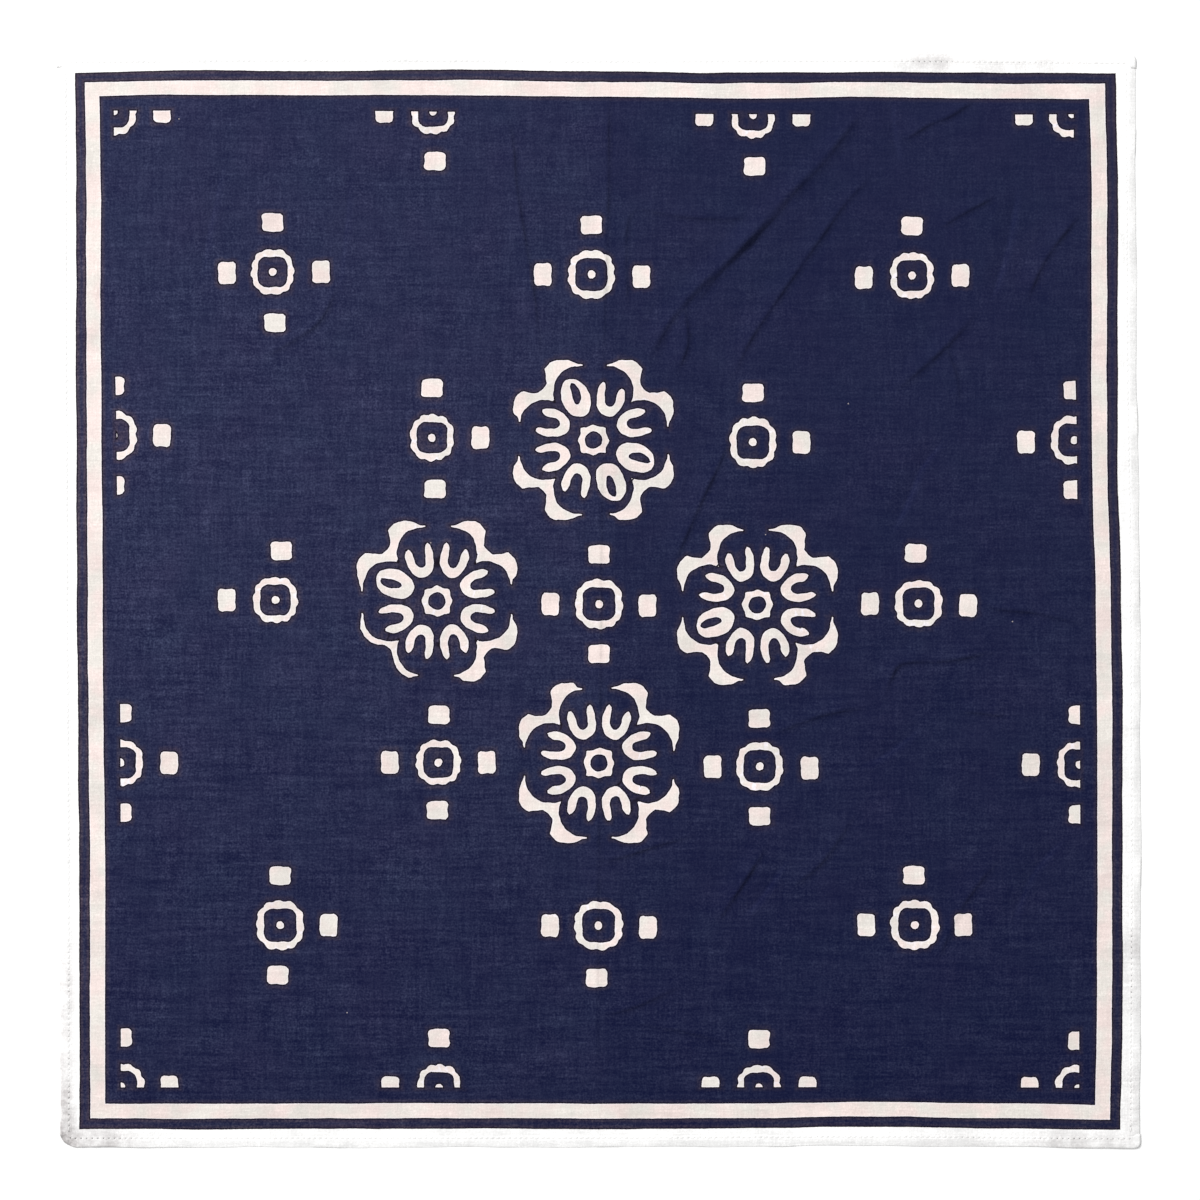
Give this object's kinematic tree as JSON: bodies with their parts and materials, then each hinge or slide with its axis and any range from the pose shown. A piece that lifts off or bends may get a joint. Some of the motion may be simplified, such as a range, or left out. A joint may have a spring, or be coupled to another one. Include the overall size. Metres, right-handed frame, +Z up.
{
  "type": "bandana laid flat",
  "caption": "Square cotton gauze bandana laid flat and face up, with a printed field, plain margins and narrow turned hems on all sides.",
  "frame": {"origin": "middle of the underside, at the centre of the base of the bounding box", "axes": "+X towards the right edge as pictured, +Y towards the top edge, +Z up off the surface that the bandana lies on"},
  "size_m": [0.543, 0.549, 0.0026],
  "materials": {
    "printed_cloth": "matte slubby cotton gauze, printed navy with pale ornaments",
    "hem_cloth": "matte unprinted cotton gauze, turned and stitched"
  },
  "bodies": {
    "root": {"cloth_panel": "printed_cloth", "hem_bottom": "hem_cloth", "hem_top": "hem_cloth", "hem_left": "hem_cloth", "hem_right": "hem_cloth"}
  },
  "joints": []
}
